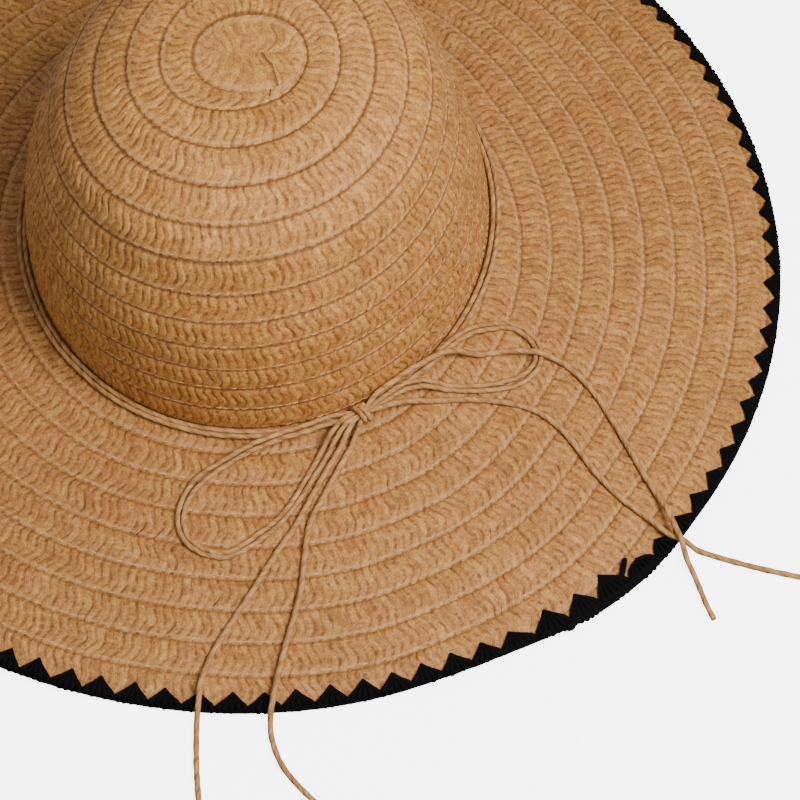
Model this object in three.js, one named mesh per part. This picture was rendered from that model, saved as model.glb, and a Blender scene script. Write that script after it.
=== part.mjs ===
// Wide-brim sun hat of sewn straw braid, crown up, resting on the rim of its brim.
// Millimetres, +Z up. The floor is Z 0 and the origin is on it, under the middle of the brim.
// The bow is at the front right, and angles run anticlockwise from +X seen from above.
import * as THREE from 'three';

// Brim
const RIM_RADIUS = 212.6;
const BRIM_WALL = 2;
const BRIM_TOP_AT_CROWN = 27;
const BRIM_TOP_AT_EDGE = 3.2;
const BRIM_ROWS = 9;
const BRIM_SEGMENTS = 60;
const BRIM_UNDERSIDE_STEPS = 6;

// Crown
const CROWN_CENTRE = new THREE.Vector2(6.4, -7.4);
const CROWN_LONG_RADIUS = 100.2;
const CROWN_SHORT_RADIUS = 87.8;
const CROWN_LONG_ANGLE = THREE.MathUtils.degToRad(77.5);
const CROWN_HEIGHT = 114;
const CROWN_LEAN = new THREE.Vector2(-5.5, -14.5);
const CROWN_WALL = 2;
const CROWN_ROWS = 12.6;
const TIP_ROWS = 4.6;
const CROWN_SEGMENTS = 42;
const TIP_INSIDE_STEPS = 4;
const SIDE_INSIDE_STEPS = 7;
const MEAN_CROWN_RADIUS = Math.sqrt(CROWN_LONG_RADIUS * CROWN_SHORT_RADIUS);

// How wide the crown is at each height, as a share of its width at the brim
const CROWN_PROFILE = [
  { height: 114.0, width: 0.0 },
  { height: 113.4, width: 0.165 },
  { height: 110.7, width: 0.4 },
  { height: 106.2, width: 0.535 },
  { height: 98.8, width: 0.655 },
  { height: 88.8, width: 0.762 },
  { height: 77.2, width: 0.82 },
  { height: 52.2, width: 0.922 },
  { height: 26.2, width: 0.97 },
  { height: 0.0, width: 1.0 },
];

// The braid: each row lies over the next one out, so its outer edge stands proud
const RIB_HEIGHT = 0.6;
const RIB_FOOT = 0.05;
const GAP = 0.3;

// The braid's last row ends under the trim, and the rim steps in there
const BRAID_END_ANGLE = THREE.MathUtils.degToRad(-56);
const BRAID_END_STEP = 1.9;
const BRAID_END_WIDTH = THREE.MathUtils.degToRad(10);

// Black edge trim: a bead of yarn round the rim, with pointed stitches that reach in over the straw
const TRIM_TEETH = 110;
const TRIM_BEAD_WIDTH = 3;
const TRIM_BEAD_SLANT = 0.6;
const TRIM_TOP = 4.8;
const TRIM_LIP = 1.2;
const TRIM_VALLEY_REACH = 4.2;
const TRIM_PEAK_REACH = 8.5;

// Twisted paper cord: it runs twice round the crown and in the bow's loops, and once in each tail
const CORD_RADIUS = 1.1;
const PAIR_HALF_WIDTH = 2.1;
const PAIR_HALF_HEIGHT = 1;
const CORD_SIDES = 8;
const CORD_STEP = 7;
const ROUTE_STEP = 3.5;
const BAND_HEIGHT = 28.2;
const BAND_STEPS = 46;

// Where a laid cord climbs and falls: over the crown cord, the trim's lip and bead, and off the rim
const BAND_SLOPE_START = 6;
const BAND_SLOPE_END = 16;
const LIP_SLOPE_START = -17;
const LIP_SLOPE_END = -9;
const BEAD_SLOPE_START = -3.5;
const FALL_TO_FLOOR = 9;

// Bow knot
const KNOT_CENTRE = new THREE.Vector3(45.8, -101, 30.2);
const KNOT_TURN = THREE.MathUtils.degToRad(23);
const KNOT_HALF_LENGTH = 6.8;
const KNOT_SIDES = 12;
const KNOT_ANGLE_GAP = THREE.MathUtils.degToRad(5.2);

// Where the cords lie, each point with its lift above the straw or the floor, in millimetres
const LOOP_LEFT = [
  { x: 38.6, y: -103.2, lift: 0 },
  { x: 33.8, y: -104.4, lift: 0 },
  { x: 28.2, y: -106.7, lift: 0 },
  { x: 22.3, y: -109.3, lift: 0 },
  { x: 16.5, y: -111.2, lift: 0 },
  { x: 9.5, y: -114.2, lift: 0 },
  { x: 2.5, y: -117.3, lift: 0 },
  { x: -8.0, y: -122.6, lift: 0 },
  { x: -15.2, y: -128.3, lift: 0 },
  { x: -19.8, y: -135.5, lift: 0 },
  { x: -21.1, y: -142.3, lift: 0 },
  { x: -19.1, y: -148.8, lift: 0 },
  { x: -14.6, y: -153.1, lift: 0 },
  { x: -9.5, y: -155.1, lift: 0 },
  { x: -3.6, y: -155.4, lift: 0 },
  { x: 3.1, y: -152.0, lift: 0 },
  { x: 8.6, y: -147.8, lift: 0 },
  { x: 14.0, y: -143.3, lift: 0 },
  { x: 20.3, y: -135.5, lift: 0 },
  { x: 25.8, y: -125.8, lift: 0 },
  { x: 30.3, y: -117.9, lift: 0 },
  { x: 34.3, y: -110.9, lift: 0.2 },
  { x: 37.5, y: -106.3, lift: 0.4 },
];
const LOOP_RIGHT = [
  { x: 51.2, y: -94.2, lift: 0 },
  { x: 55.4, y: -90.6, lift: 0 },
  { x: 60.2, y: -86.4, lift: 0 },
  { x: 65.9, y: -81.7, lift: 0 },
  { x: 72.1, y: -76.4, lift: 0 },
  { x: 78.9, y: -68.9, lift: 0 },
  { x: 84.8, y: -63.8, lift: 0 },
  { x: 91.8, y: -59.5, lift: 0 },
  { x: 99.0, y: -56.1, lift: 0 },
  { x: 104.8, y: -56.6, lift: 0 },
  { x: 109.3, y: -59.4, lift: 0 },
  { x: 112.5, y: -63.7, lift: 0 },
  { x: 112.6, y: -69.4, lift: 0 },
  { x: 110.1, y: -74.4, lift: 0 },
  { x: 105.4, y: -78.7, lift: 0 },
  { x: 98.8, y: -81.9, lift: 0 },
  { x: 90.0, y: -84.3, lift: 0 },
  { x: 81.6, y: -85.3, lift: 0 },
  { x: 73.2, y: -86.1, lift: 0 },
  { x: 66.4, y: -87.1, lift: 0 },
  { x: 60.0, y: -89.5, lift: 0 },
  { x: 55.8, y: -92.9, lift: 0.2 },
];
const TAIL_A = [
  { x: 40.9, y: -106.6, lift: 0 },
  { x: 37.3, y: -113.6, lift: 0 },
  { x: 33.2, y: -120.8, lift: 0 },
  { x: 27.8, y: -131.1, lift: 0 },
  { x: 24.0, y: -138.5, lift: 0 },
  { x: 20.1, y: -145.8, lift: 0 },
  { x: 14.9, y: -153.5, lift: 0 },
  { x: 6.8, y: -167.2, lift: 0 },
  { x: -1.7, y: -181.0, lift: 0 },
  { x: -8.3, y: -192.4, lift: 0 },
  { x: -11.8, y: -202.4, lift: 0 },
  { x: -12.8, y: -212.0, lift: 0 },
  { x: -13.2, y: -219.8, lift: 0 },
  { x: -12.9, y: -232.9, lift: 0 },
  { x: -12.0, y: -244.8, lift: 0 },
  { x: -11.2, y: -251.1, lift: 0 },
];
const TAIL_B = [
  { x: 44.2, y: -106.4, lift: 0 },
  { x: 41.3, y: -112.9, lift: 0 },
  { x: 37.3, y: -120.6, lift: 0 },
  { x: 31.9, y: -131.2, lift: 0 },
  { x: 27.9, y: -139.1, lift: 0 },
  { x: 25.9, y: -145.2, lift: 0 },
  { x: 24.6, y: -155.9, lift: 0.2 },
  { x: 23.5, y: -167.5, lift: 0.4 },
  { x: 20.8, y: -179.2, lift: 0.5 },
  { x: 17.3, y: -192.2, lift: 0.5 },
  { x: 14.7, y: -204.5, lift: 0.2 },
  { x: 13.1, y: -214.9, lift: 0 },
  { x: 14.0, y: -223.3, lift: 0 },
  { x: 17.3, y: -232.4, lift: 0 },
  { x: 22.9, y: -240.3, lift: 0 },
  { x: 30.7, y: -248.5, lift: 0 },
  { x: 32.8, y: -250.4, lift: 0 },
];
const TAIL_C = [
  { x: 52.6, y: -98.2, lift: 0 },
  { x: 58.9, y: -95.6, lift: 0 },
  { x: 66.4, y: -93.2, lift: 0 },
  { x: 75.5, y: -91.0, lift: 0 },
  { x: 84.6, y: -89.6, lift: 0 },
  { x: 93.0, y: -89.0, lift: 0 },
  { x: 102.5, y: -89.2, lift: 0 },
  { x: 111.6, y: -91.2, lift: 0 },
  { x: 119.9, y: -96.6, lift: 0 },
  { x: 126.6, y: -104.3, lift: 0 },
  { x: 132.9, y: -113.2, lift: 0 },
  { x: 141.4, y: -121.9, lift: 0 },
  { x: 151.8, y: -129.7, lift: 0 },
  { x: 160.1, y: -136.4, lift: 0 },
  { x: 169.4, y: -139.6, lift: 0 },
  { x: 179.9, y: -143.4, lift: 0 },
  { x: 193.5, y: -147.4, lift: 0 },
  { x: 207.5, y: -150.7, lift: 0 },
  { x: 214.1, y: -152.0, lift: 0 },
];
const TAIL_D = [
  { x: 53.0, y: -91.6, lift: 2.5 },
  { x: 57.5, y: -87.9, lift: 2.6 },
  { x: 62.8, y: -83.2, lift: 2.6 },
  { x: 68.1, y: -79.6, lift: 2.6 },
  { x: 73.9, y: -75.8, lift: 2.6 },
  { x: 80.6, y: -72.7, lift: 1.3 },
  { x: 87.5, y: -70.8, lift: 0.1 },
  { x: 94.8, y: -68.8, lift: 0.1 },
  { x: 100.6, y: -67.6, lift: 0.9 },
  { x: 106.2, y: -67.7, lift: 2.4 },
  { x: 112.4, y: -67.5, lift: 2.6 },
  { x: 117.9, y: -67.9, lift: 0.9 },
  { x: 123.4, y: -70.0, lift: 0 },
  { x: 129.5, y: -75.0, lift: 0 },
  { x: 135.4, y: -82.3, lift: 0 },
  { x: 140.9, y: -91.6, lift: 0 },
  { x: 146.7, y: -102.2, lift: 0 },
  { x: 152.4, y: -112.9, lift: 0 },
  { x: 157.8, y: -122.8, lift: 0.9 },
  { x: 161.8, y: -132.6, lift: 2.5 },
  { x: 164.9, y: -140.7, lift: 2.6 },
  { x: 169.3, y: -150.8, lift: 0.9 },
  { x: 173.2, y: -162.7, lift: 0 },
  { x: 175.9, y: -169.7, lift: 0 },
];

// Materials
const straw = new THREE.MeshStandardMaterial({ color: 0xc49a63, roughness: 0.75, metalness: 0 });
const blackYarn = new THREE.MeshStandardMaterial({ color: 0x141312, roughness: 0.6, metalness: 0 });
const paperCord = new THREE.MeshStandardMaterial({ color: 0xb98f6a, roughness: 0.7, metalness: 0 });

// Radius of the crown's oval foot along an angle from its centre
function ovalRadius(angle) {
  const turn = angle - CROWN_LONG_ANGLE;
  const across = CROWN_SHORT_RADIUS * Math.cos(turn);
  const along = CROWN_LONG_RADIUS * Math.sin(turn);
  return (CROWN_LONG_RADIUS * CROWN_SHORT_RADIUS) / Math.hypot(across, along);
}

// Radius of the rim about the origin: it swells before the braid's end and steps in after it
function rimRadius(angle) {
  const turn = THREE.MathUtils.euclideanModulo(BRAID_END_ANGLE - angle + Math.PI, 2 * Math.PI) - Math.PI;
  const k = turn / BRAID_END_WIDTH;
  return RIM_RADIUS - BRAID_END_STEP * k * Math.exp((1 - k * k) / 2);
}

// Distance from the crown's centre to the rim, less an inset, along an angle from that centre
function rimFromCrown(angle, inset) {
  let reach = RIM_RADIUS;
  for (let pass = 0; pass < 8; pass += 1) {
    const x = CROWN_CENTRE.x + reach * Math.cos(angle);
    const y = CROWN_CENTRE.y + reach * Math.sin(angle);
    reach += rimRadius(Math.atan2(y, x)) - inset - Math.hypot(x, y);
  }
  return reach;
}

// Radius of the head opening, and of the straw's outer edge inside the trim
const openingRadius = (angle) => ovalRadius(angle) - CROWN_WALL;
const strawEdgeRadius = (angle) => rimFromCrown(angle, TRIM_BEAD_WIDTH + GAP);

// Share of the way across the brim, 0 at the head opening and 1 at the straw's outer edge
function shareAcrossBrim(x, y) {
  const angle = Math.atan2(y - CROWN_CENTRE.y, x - CROWN_CENTRE.x);
  const reach = Math.hypot(x - CROWN_CENTRE.x, y - CROWN_CENTRE.y);
  const inner = openingRadius(angle);
  return (reach - inner) / (strawEdgeRadius(angle) - inner);
}

const brimTop = (share) => THREE.MathUtils.lerp(BRIM_TOP_AT_CROWN, BRIM_TOP_AT_EDGE, share);

// A point of the brim: a share of the way across, an angle, and an offset above its top
function brimPoint(share, angle, offset) {
  const inner = openingRadius(angle);
  const reach = inner + (strawEdgeRadius(angle) - inner) * share;
  const x = CROWN_CENTRE.x + reach * Math.cos(angle);
  const y = CROWN_CENTRE.y + reach * Math.sin(angle);
  return new THREE.Vector3(x, y, brimTop(share) + offset);
}

// The crown's profile as a curve, from the middle of its top down to the brim
const crownCurve = new THREE.SplineCurve(
  CROWN_PROFILE.map((row) => new THREE.Vector2(row.width * MEAN_CROWN_RADIUS, row.height)),
);

// A point of the crown: rows from the middle of the top, an angle, and an offset out of its surface
function crownPoint(rows, angle, offset) {
  const along = Math.min(rows / CROWN_ROWS, 1);
  const place = crownCurve.getPointAt(along);
  const tangent = crownCurve.getTangentAt(along);
  const lean = place.y / CROWN_HEIGHT;
  const reach = (ovalRadius(angle) * place.x) / MEAN_CROWN_RADIUS - offset * tangent.y;
  const x = CROWN_CENTRE.x + CROWN_LEAN.x * lean * (2 - lean) + reach * Math.cos(angle);
  const y = CROWN_CENTRE.y + CROWN_LEAN.y * lean + reach * Math.sin(angle);
  const height = Math.max(place.y + offset * tangent.x, 0);
  return new THREE.Vector3(x, y, BRIM_TOP_AT_CROWN + GAP + height);
}

// Moves each vertex of a lathed form: wrap gets its radius, angle and height
function wrapLathe(profile, segments, wrap) {
  const geometry = new THREE.LatheGeometry(profile, segments);
  const position = geometry.getAttribute('position');
  for (let i = 0; i < position.count; i += 1) {
    const radius = Math.hypot(position.getX(i), position.getZ(i));
    const angle = Math.atan2(position.getX(i), position.getZ(i));
    const point = wrap(radius, angle, position.getY(i));
    position.setXYZ(i, point.x, point.y, point.z);
  }
  geometry.computeVertexNormals();
  return geometry;
}

// Outside of the crown from its outer rows inward: rows step down like shingles, a rib a row
function crownOutside(firstRow, lastRow) {
  const points = [];
  for (let seam = lastRow; seam > firstRow + 1; seam -= 1) {
    points.push(new THREE.Vector2(seam, seam === CROWN_ROWS ? 0 : RIB_HEIGHT));
    points.push(new THREE.Vector2(seam - 1 + RIB_FOOT, 0));
  }
  return points;
}

// Inside of the crown, plain, from its inner rows outward
function crownInside(firstRow, lastRow, steps) {
  const points = [];
  for (let step = 0; step <= steps; step += 1) {
    points.push(new THREE.Vector2(THREE.MathUtils.lerp(firstRow, lastRow, step / steps), -CROWN_WALL));
  }
  return points;
}

// Crown tip: the hollow cap over the head, from the middle of the top to where the side turns down
function crownTipGeometry() {
  const firstSeam = TIP_ROWS % 1;
  const profile = [
    ...crownInside(0, TIP_ROWS, TIP_INSIDE_STEPS),
    ...crownOutside(0, TIP_ROWS),
    new THREE.Vector2(firstSeam, RIB_HEIGHT),
    new THREE.Vector2(0, RIB_HEIGHT),
  ];
  return wrapLathe(profile, CROWN_SEGMENTS, crownPoint);
}

// Crown side: the ring below the tip, down to the brim
function crownSideGeometry() {
  const firstRow = TIP_ROWS + RIB_FOOT;
  const profile = [
    ...crownInside(firstRow, CROWN_ROWS, SIDE_INSIDE_STEPS),
    ...crownOutside(TIP_ROWS, CROWN_ROWS),
    new THREE.Vector2(TIP_ROWS + 1, RIB_HEIGHT),
    new THREE.Vector2(firstRow, 0),
    new THREE.Vector2(firstRow, -CROWN_WALL),
  ];
  return wrapLathe(profile, CROWN_SEGMENTS, crownPoint);
}

// Brim: a ring that slopes down from the crown to the rim
function brimGeometry() {
  const inside = 1;
  const profile = [];
  for (let step = 0; step <= BRIM_UNDERSIDE_STEPS; step += 1) {
    profile.push(new THREE.Vector2(inside + (BRIM_ROWS * step) / BRIM_UNDERSIDE_STEPS, -BRIM_WALL));
  }
  profile.push(new THREE.Vector2(inside + BRIM_ROWS, 0));
  for (let row = BRIM_ROWS - 1; row > 0; row -= 1) {
    profile.push(new THREE.Vector2(inside + row + RIB_FOOT, 0));
    profile.push(new THREE.Vector2(inside + row, RIB_HEIGHT));
  }
  profile.push(new THREE.Vector2(inside, 0));
  profile.push(profile[0].clone());
  return wrapLathe(profile, BRIM_SEGMENTS, (radius, angle, offset) => {
    return brimPoint((radius - inside) / BRIM_ROWS, angle, offset);
  });
}

// Edge trim: the bead stands on the floor, and its lip reaches in over the straw in teeth
function trimGeometry() {
  const lipStart = RIM_RADIUS - TRIM_VALLEY_REACH;
  const lipUnderside = 100;
  const lipTopside = 200;
  const beadInside = RIM_RADIUS - TRIM_BEAD_WIDTH;
  const profile = [
    new THREE.Vector2(beadInside, 0),
    new THREE.Vector2(RIM_RADIUS, 0),
    new THREE.Vector2(RIM_RADIUS - TRIM_BEAD_SLANT, TRIM_TOP),
    new THREE.Vector2(lipStart, lipTopside),
    new THREE.Vector2(lipStart, lipUnderside),
    new THREE.Vector2(beadInside, BRIM_TOP_AT_EDGE + GAP),
    new THREE.Vector2(beadInside, 0),
  ];
  return wrapLathe(profile, 2 * TRIM_TEETH, (radius, angle, height) => {
    const isTip = height >= lipUnderside;
    const tooth = THREE.MathUtils.euclideanModulo((angle * TRIM_TEETH) / (2 * Math.PI) + 0.25, 1);
    const peak = isTip && tooth > 0.5 ? TRIM_PEAK_REACH - TRIM_VALLEY_REACH : 0;
    const reach = rimRadius(angle) + radius - RIM_RADIUS - peak;
    const x = reach * Math.cos(angle);
    const y = reach * Math.sin(angle);
    const overStraw = brimTop(shareAcrossBrim(x, y)) + GAP;
    const lift = height >= lipTopside ? TRIM_LIP : 0;
    return new THREE.Vector3(x, y, isTip ? overStraw + lift : height);
  });
}

// Height of what a cord lies on: the crown cord, the straw, the trim's lip and bead, then the floor
function layHeight(x, y) {
  const reach = Math.hypot(x, y) - rimRadius(Math.atan2(y, x));
  const overBead = TRIM_TOP + GAP;
  if (reach > 0) {
    return overBead * (1 - THREE.MathUtils.smoothstep(reach, 0, FALL_TO_FLOOR));
  }
  const fromCentre = new THREE.Vector2(x, y).sub(CROWN_CENTRE);
  const besideCrown = fromCentre.length() - ovalRadius(Math.atan2(fromCentre.y, fromCentre.x));
  const onStraw = brimTop(shareAcrossBrim(x, y)) + RIB_HEIGHT;
  const { smoothstep, lerp } = THREE.MathUtils;
  const overLip = onStraw + (TRIM_LIP + GAP) * smoothstep(reach, LIP_SLOPE_START, LIP_SLOPE_END);
  const overBand = BAND_HEIGHT + PAIR_HALF_HEIGHT + GAP;
  const offBand = smoothstep(besideCrown, BAND_SLOPE_START, BAND_SLOPE_END);
  return lerp(lerp(overBand, overLip, offBand), overBead, smoothstep(reach, BEAD_SLOPE_START, 0));
}

// A closed tube along points, with an oval section that is wide along the ground
function tubeGeometry(points, halfHeight, halfWidth, steps) {
  const section = new THREE.Shape();
  for (let side = 0; side < CORD_SIDES; side += 1) {
    const angle = (2 * Math.PI * side) / CORD_SIDES;
    const x = halfHeight * Math.cos(angle);
    const y = halfWidth * Math.sin(angle);
    if (side === 0) {
      section.moveTo(x, y);
    } else {
      section.lineTo(x, y);
    }
  }
  const path = new THREE.CatmullRomCurve3(points);
  return new THREE.ExtrudeGeometry(section, { steps, bevelEnabled: false, extrudePath: path });
}

// A cord laid along a route of points
function laidCord(route, halfHeight, halfWidth) {
  const plan = new THREE.CatmullRomCurve3(route.map(({ x, y, lift }) => new THREE.Vector3(x, y, lift)));
  const length = plan.getLength();
  const points = plan.getSpacedPoints(Math.round(length / ROUTE_STEP)).map((point) => {
    const height = layHeight(point.x, point.y) + GAP + halfHeight + point.z;
    return new THREE.Vector3(point.x, point.y, height);
  });
  return tubeGeometry(points, halfHeight, halfWidth, Math.round(length / CORD_STEP));
}

const pairOfCords = (route) => laidCord(route, PAIR_HALF_HEIGHT, PAIR_HALF_WIDTH);
const singleCord = (route) => laidCord(route, CORD_RADIUS, CORD_RADIUS);

// Crown cord: two turns side by side in the corner of crown and brim, from one side of the knot to the other
function crownCordGeometry() {
  const knotAngle = Math.atan2(KNOT_CENTRE.y - CROWN_CENTRE.y, KNOT_CENTRE.x - CROWN_CENTRE.x);
  const points = [];
  for (let i = 0; i <= BAND_STEPS; i += 1) {
    const around = 2 * Math.PI - 2 * KNOT_ANGLE_GAP;
    const angle = knotAngle + KNOT_ANGLE_GAP + (around * i) / BAND_STEPS;
    const reach = ovalRadius(angle) + 2 * GAP + PAIR_HALF_WIDTH;
    const x = CROWN_CENTRE.x + reach * Math.cos(angle);
    const y = CROWN_CENTRE.y + reach * Math.sin(angle);
    points.push(new THREE.Vector3(x, y, BAND_HEIGHT));
  }
  return tubeGeometry(points, PAIR_HALF_HEIGHT, PAIR_HALF_WIDTH, BAND_STEPS);
}

// Bow knot: a short spindle with a waist, its axis along the crown's foot
function knotGeometry() {
  const profile = [
    { along: -1.0, radius: 0 },
    { along: -0.95, radius: 1.9 },
    { along: -0.45, radius: 3.7 },
    { along: 0.0, radius: 3.3 },
    { along: 0.5, radius: 4.0 },
    { along: 0.95, radius: 2.0 },
    { along: 1.0, radius: 0 },
  ].map(({ along, radius }) => new THREE.Vector2(radius, along * KNOT_HALF_LENGTH));
  const geometry = new THREE.LatheGeometry(profile, KNOT_SIDES);
  geometry.rotateZ(-Math.PI / 2);
  return geometry;
}

// Scene graph
const hat = new THREE.Group();

function addPiece(name, geometry, material) {
  const mesh = new THREE.Mesh(geometry, material);
  mesh.name = name;
  hat.add(mesh);
  return mesh;
}

addPiece('crown_tip', crownTipGeometry(), straw);
addPiece('crown_side', crownSideGeometry(), straw);
addPiece('brim', brimGeometry(), straw);
addPiece('edge_trim', trimGeometry(), blackYarn);
addPiece('crown_cord', crownCordGeometry(), paperCord);
const knot = addPiece('bow_knot', knotGeometry(), paperCord);
knot.position.copy(KNOT_CENTRE);
knot.rotation.z = KNOT_TURN;
addPiece('bow_loop_left', pairOfCords(LOOP_LEFT), paperCord);
addPiece('bow_loop_right', pairOfCords(LOOP_RIGHT), paperCord);
addPiece('tail_a', singleCord(TAIL_A), paperCord);
addPiece('tail_b', singleCord(TAIL_B), paperCord);
addPiece('tail_c', singleCord(TAIL_C), paperCord);
addPiece('tail_d', singleCord(TAIL_D), paperCord);

export default hat;
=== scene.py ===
import math

import bpy
import numpy as np
from mathutils import Matrix, Vector


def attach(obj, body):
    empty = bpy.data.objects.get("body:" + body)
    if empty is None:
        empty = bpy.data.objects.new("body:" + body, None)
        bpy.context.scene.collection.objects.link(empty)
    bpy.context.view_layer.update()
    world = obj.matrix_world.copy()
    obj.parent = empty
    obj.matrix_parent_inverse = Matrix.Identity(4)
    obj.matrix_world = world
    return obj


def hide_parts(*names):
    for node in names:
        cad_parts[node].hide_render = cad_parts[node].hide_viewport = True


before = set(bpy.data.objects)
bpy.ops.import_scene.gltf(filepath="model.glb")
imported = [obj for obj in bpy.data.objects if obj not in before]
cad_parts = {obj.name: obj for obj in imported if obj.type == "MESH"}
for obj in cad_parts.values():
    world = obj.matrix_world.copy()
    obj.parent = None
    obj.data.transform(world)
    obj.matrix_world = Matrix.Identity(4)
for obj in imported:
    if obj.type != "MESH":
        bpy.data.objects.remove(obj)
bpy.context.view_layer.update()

# The shape functions work in millimetres, in the frame of the CAD, and MM takes them to metres.
MM = 0.001
TAU = 2 * math.pi

# The same driving dimensions as the CAD
RIM_RADIUS = 212.6
CROWN_CENTRE = (6.4, -7.4)
CROWN_LONG_RADIUS = 100.2
CROWN_SHORT_RADIUS = 87.8
CROWN_LONG_ANGLE = math.radians(77.5)
CROWN_HEIGHT = 114.0
CROWN_LEAN = (-5.5, -14.5)
CROWN_WALL = 2.0
CROWN_ROWS = 12.6
CROWN_FOOT = 27.3
MEAN_CROWN_RADIUS = math.sqrt(CROWN_LONG_RADIUS * CROWN_SHORT_RADIUS)
BRIM_TOP_AT_CROWN = 27.0
BRIM_TOP_AT_EDGE = 3.2
RIB_HEIGHT = 0.6
GAP = 0.3
TRIM_TOP = 4.8
TRIM_LIP = 1.2
TRIM_TEETH = 110
TRIM_BEAD_WIDTH = 3.0
STRAW_INSIDE_TRIM = 1.1
BRAID_END_ANGLE = math.radians(-56)
BRAID_END_STEP = 1.9
BRAID_END_WIDTH = math.radians(10)
CORD_RADIUS = 1.1
PAIR_HALF_HEIGHT = 1.0
BAND_HEIGHT = 28.2
KNOT_CENTRE = np.array([45.8, -101.0, 30.2])
KNOT_TURN = math.radians(23)

# How wide the crown is at each height, as a share of its width at the brim: (height, width)
CROWN_PROFILE = [
    (114.0, 0.0),
    (113.4, 0.165),
    (110.7, 0.4),
    (106.2, 0.535),
    (98.8, 0.655),
    (88.8, 0.762),
    (77.2, 0.82),
    (52.2, 0.922),
    (26.2, 0.97),
    (0.0, 1.0),
]

# Where the cords lie, as in the CAD but in metres: (x, y, lift above what carries them)
LOOP_LEFT = [
    (0.0386, -0.1032, 0), (0.0338, -0.1044, 0), (0.0282, -0.1067, 0), (0.0223, -0.1093, 0),
    (0.0165, -0.1112, 0), (0.0095, -0.1142, 0), (0.0025, -0.1173, 0), (-0.0080, -0.1226, 0),
    (-0.0152, -0.1283, 0), (-0.0198, -0.1355, 0), (-0.0211, -0.1423, 0), (-0.0191, -0.1488, 0),
    (-0.0146, -0.1531, 0), (-0.0095, -0.1551, 0), (-0.0036, -0.1554, 0), (0.0031, -0.1520, 0),
    (0.0086, -0.1478, 0), (0.0140, -0.1433, 0), (0.0203, -0.1355, 0), (0.0258, -0.1258, 0),
    (0.0303, -0.1179, 0), (0.0343, -0.1109, 0.0002), (0.0375, -0.1063, 0.0004),
]
LOOP_RIGHT = [
    (0.0512, -0.0942, 0), (0.0554, -0.0906, 0), (0.0602, -0.0864, 0), (0.0659, -0.0817, 0),
    (0.0721, -0.0764, 0), (0.0789, -0.0689, 0), (0.0848, -0.0638, 0), (0.0918, -0.0595, 0),
    (0.0990, -0.0561, 0), (0.1048, -0.0566, 0), (0.1093, -0.0594, 0), (0.1125, -0.0637, 0),
    (0.1126, -0.0694, 0), (0.1101, -0.0744, 0), (0.1054, -0.0787, 0), (0.0988, -0.0819, 0),
    (0.0900, -0.0843, 0), (0.0816, -0.0853, 0), (0.0732, -0.0861, 0), (0.0664, -0.0871, 0),
    (0.0600, -0.0895, 0), (0.0558, -0.0929, 0.0002),
]
TAIL_A = [
    (0.0409, -0.1066, 0), (0.0373, -0.1136, 0), (0.0332, -0.1208, 0), (0.0278, -0.1311, 0),
    (0.0240, -0.1385, 0), (0.0201, -0.1458, 0), (0.0149, -0.1535, 0), (0.0068, -0.1672, 0),
    (-0.0017, -0.1810, 0), (-0.0083, -0.1924, 0), (-0.0118, -0.2024, 0), (-0.0128, -0.2120, 0),
    (-0.0132, -0.2198, 0), (-0.0129, -0.2329, 0), (-0.0120, -0.2448, 0), (-0.0112, -0.2511, 0),
]
TAIL_B = [
    (0.0442, -0.1064, 0), (0.0413, -0.1129, 0), (0.0373, -0.1206, 0), (0.0319, -0.1312, 0),
    (0.0279, -0.1391, 0), (0.0259, -0.1452, 0), (0.0246, -0.1559, 0.0002), (0.0235, -0.1675, 0.0004),
    (0.0208, -0.1792, 0.0005), (0.0173, -0.1922, 0.0005), (0.0147, -0.2045, 0.0002), (0.0131, -0.2149, 0),
    (0.0140, -0.2233, 0), (0.0173, -0.2324, 0), (0.0229, -0.2403, 0), (0.0307, -0.2485, 0),
    (0.0328, -0.2504, 0),
]
TAIL_C = [
    (0.0526, -0.0982, 0), (0.0589, -0.0956, 0), (0.0664, -0.0932, 0), (0.0755, -0.0910, 0),
    (0.0846, -0.0896, 0), (0.0930, -0.0890, 0), (0.1025, -0.0892, 0), (0.1116, -0.0912, 0),
    (0.1199, -0.0966, 0), (0.1266, -0.1043, 0), (0.1329, -0.1132, 0), (0.1414, -0.1219, 0),
    (0.1518, -0.1297, 0), (0.1601, -0.1364, 0), (0.1694, -0.1396, 0), (0.1799, -0.1434, 0),
    (0.1935, -0.1474, 0), (0.2075, -0.1507, 0), (0.2141, -0.1520, 0),
]
TAIL_D = [
    (0.0530, -0.0916, 0.0025), (0.0575, -0.0879, 0.0026), (0.0628, -0.0832, 0.0026),
    (0.0681, -0.0796, 0.0026), (0.0739, -0.0758, 0.0026), (0.0806, -0.0727, 0.0013),
    (0.0875, -0.0708, 0.0001), (0.0948, -0.0688, 0.0001), (0.1006, -0.0676, 0.0009),
    (0.1062, -0.0677, 0.0024), (0.1124, -0.0675, 0.0026), (0.1179, -0.0679, 0.0009),
    (0.1234, -0.0700, 0), (0.1295, -0.0750, 0), (0.1354, -0.0823, 0), (0.1409, -0.0916, 0),
    (0.1467, -0.1022, 0), (0.1524, -0.1129, 0), (0.1578, -0.1228, 0.0009), (0.1618, -0.1326, 0.0025),
    (0.1649, -0.1407, 0.0026), (0.1693, -0.1508, 0.0009), (0.1732, -0.1627, 0), (0.1759, -0.1697, 0),
]


# Small maths

def smooth(x):
    x = np.clip(x, 0.0, 1.0)
    return x * x * (3 - 2 * x)


def lerp(a, b, t):
    return a + (b - a) * t


def hashed(i, seed):
    """A fixed number from 0 to 1 for each whole number i."""
    x = np.sin(np.asarray(i, float) * 12.9898 + seed * 78.233) * 43758.5453
    return x - np.floor(x)


def noise(x, seed):
    """Smooth one-dimensional noise from -1 to 1 that turns about once a unit."""
    i = np.floor(x)
    return 2 * lerp(hashed(i, seed), hashed(i + 1, seed), smooth(x - i)) - 1


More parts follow.
